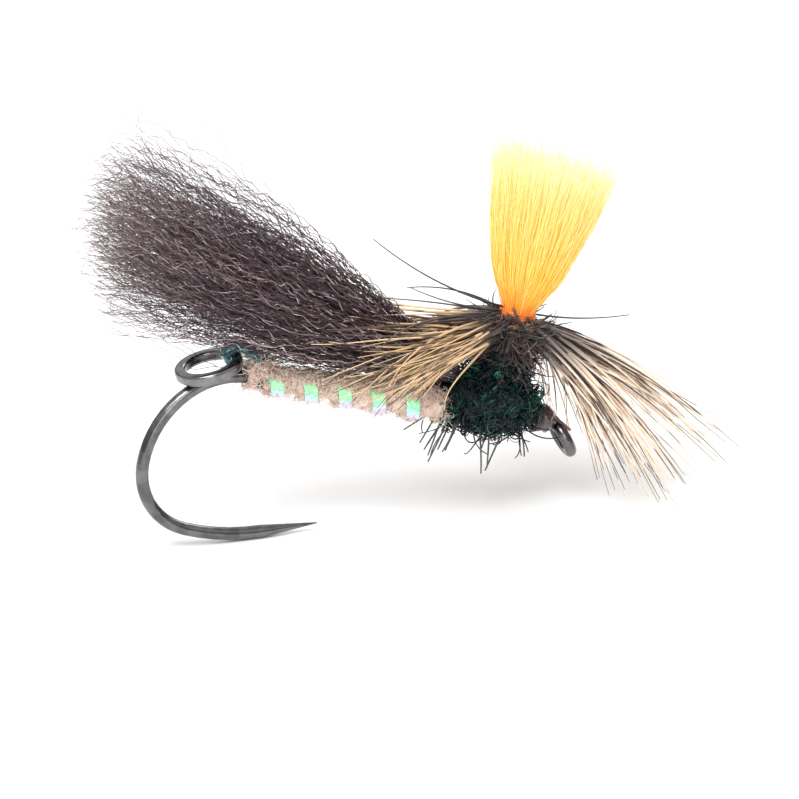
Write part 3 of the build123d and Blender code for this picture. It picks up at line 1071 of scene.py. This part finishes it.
def makeTrim():
    rng = np.random.default_rng(61)
    quills = quill()
    first, last = stemLow[2] + 0.07, stemHigh[2] - 0.07
    out = (stemR - 0.08, stemR - 0.08)
    piece = windThread("quill_turns", postX, first, last, out, trim["quill"], rng, quills, 8)
    finish(piece, "fly", "quill", "hackle_stem")
    count = trim["stubs"]
    angle = rng.uniform(0, 2 * math.pi, count)
    level = rng.uniform(stemLow[2] - 0.1, stemHigh[2] + 0.1, count)
    out = postR + 0.03
    starts = np.stack([postX + out * np.cos(angle), out * np.sin(angle), level], -1)
    headings = np.stack([np.cos(angle), np.sin(angle), rng.normal(0.05, 0.25, count)], -1)
    headings += rng.normal(0, 0.35, (count, 3))
    stride = rng.uniform(0.05, 0.16, count)
    paths = wander(starts, headings, 10, stride, rng.uniform(0, 6, count), rng)
    piece = growTubes("quill_stubs", paths, taper(10, *trim["stubThickness"]), rng, darkStrand(), 4)
    finish(piece, "fly", "quill", "hackle_stem")
    # the web hides the post's wraps
    count = trim["web"]
    angle = rng.uniform(0, 2 * math.pi, count)
    level = rng.uniform(trim["webLevel"], hackleH + 0.2, count)
    starts = np.stack([postX + postR * np.cos(angle), postR * np.sin(angle), level], -1)
    headings = np.stack([np.cos(angle), np.sin(angle), rng.uniform(-0.9, 0.15, count)], -1)
    headings += rng.normal(0, 0.45, (count, 3))
    stride = rng.uniform(0.03, 0.10, count)
    paths = wander(starts, headings, 12, stride, rng.uniform(0, 9, count), rng)
    size = taper(12, *trim["webThickness"]) * rng.uniform(0.6, 1.3, (count, 1))
    dark = barbPaint("dark_web", (0.10, 0.06, 0.05), (0.45, 0.27, 0.15), 0.9)
    piece = growTubes("hackle_web", paths, size, rng, dark, 4)
    finish(piece, "fly", "cree_hackle", "hackle_side_right")
    # cut quill ends stand beside the yarn
    foot = np.array([postX, -postR - 0.02, postNeck - 0.35])
    ends = np.array(
        [foot + np.array(way) * np.linspace(0, far, 7)[:, None] for way, far in trim["cuts"]]
    )
    size = np.full(ends.shape[:2], trim["cutThickness"])
    piece = growTubes("quill_cuts", ends, size, rng, quills, 6)
    finish(piece, "fly", "quill", "hackle_stem")
    hairs = []
    t = np.linspace(0, 1, 18)[:, None]
    for angle, rise, length, sag in trim["hairs"]:
        angle, rise = math.radians(angle), math.radians(rise)
        way = np.array([math.cos(angle), math.sin(angle), math.sin(rise)])
        sagging = np.array([0, 0, -0.5 * sag]) * (1 - (2 * t - 1) ** 2)
        hairs.append(np.array([postX, 0, postNeck - 0.1]) + way * (0.4 + t * length) + sagging)
    size = taper(18, *trim["hairThickness"])
    piece = growTubes("long_hairs", np.array(hairs), size, rng, darkStrand(), 6)
    finish(piece, "fly", "dark_strand", "guard_hairs")
    butts = []
    t = np.linspace(0, 1, 8)[:, None]
    for shift in trim["butts"]:
        way = np.array([0.95, shift * 0.4, -0.50])
        butts.append(np.array([headLow[0] + 0.1, shift, 0.32]) + way * t)
    size = np.full((len(butts), 8), trim["cutThickness"])
    piece = growTubes("cut_ends", np.array(butts), size, rng, quills, 6)
    finish(piece, "fly", "quill", "stem_butts")
    print("trim done")


makeThreads()
makeHead()
makeTrim()

# a fat glossy cord over the ring's wall, down through the ring and back
loop = {
    "points": 96,
    "sides": 20,
    "strap": 0.19,            # the strap's own half width, which leaves its root roll out
    "half": 0.23,             # half the cord's width across
    "sunk": 0.045,            # its middle line inside the strap's outline
    "inner": 0.06,            # its thickness on the ring's side
    "outer": (0.04, 0.28),    # and on the outside: beside the hook, and on top
    "smoothing": 3,
}


def hullAround(points):
    # the outline of a set of flat points, anticlockwise
    points = sorted(map(tuple, points))

    def turning(a, b, c):
        return (b[0] - a[0]) * (c[1] - a[1]) - (b[1] - a[1]) * (c[0] - a[0])

    def half(run):
        kept = []
        for x, h in run:
            while len(kept) > 1 and turning(kept[-2], kept[-1], (x, h)) <= 0:
                kept.pop()
            kept.append((x, h))
        return kept[:-1]

    return np.array(half(points) + half(points[::-1]))


def makeLoop():
    rng = np.random.default_rng(3)
    cad = toShank(meshPoints("ring_loop"))
    strap = cad[np.abs(cad[:, 1]) < loop["strap"]]
    outline = hullAround(strap[:, [0, 2]])
    outline = np.vstack([outline, outline[:1]])
    length = np.linalg.norm(np.diff(outline, axis=0), axis=1)
    far = np.concatenate([[0], np.cumsum(length)])
    even = np.linspace(0, far[-1], loop["points"], endpoint=False)
    line = np.stack([np.interp(even, far, outline[:, k]) for k in (0, 1)], -1)
    for _ in range(loop["smoothing"]):
        line = (np.roll(line, 1, 0) + 2 * line + np.roll(line, -1, 0)) / 4
    ahead = np.roll(line, -1, 0) - np.roll(line, 1, 0)
    ahead /= np.linalg.norm(ahead, axis=1, keepdims=True)
    outward = np.stack([ahead[:, 1], -ahead[:, 0]], -1)
    line -= outward * loop["sunk"]
    # it bulges where nothing is near it: on top and down inside the ring
    free = np.clip(outward[:, 1] * 0.9 + 0.55 - 0.25 * outward[:, 0], 0, 1)
    bulge = loop["outer"][0] + (loop["outer"][1] - loop["outer"][0]) * free
    turn = -np.arange(loop["sides"]) * 2 * math.pi / loop["sides"]
    lift = np.where(np.sin(turn) > 0, bulge[:, None] * np.sin(turn), loop["inner"] * np.sin(turn))
    uneven = 1 + 0.05 * np.sin(np.arange(loop["points"]) * 0.4)
    wide = loop["half"] * uneven[:, None] * np.cos(turn)
    x = line[:, :1] + outward[:, :1] * lift
    h = line[:, 1:] + outward[:, 1:] * lift
    rings = np.stack([x, wide, h], -1)
    spots = toRow(rings.reshape(-1, 3))
    piece = skin("loop_cord", spots, (1, *wide.shape), rng, glossyFloss(), closed=True)
    finish(piece, "ring_loop", "green_floss", "ring_loop")
    print("loop done")


makeLoop()
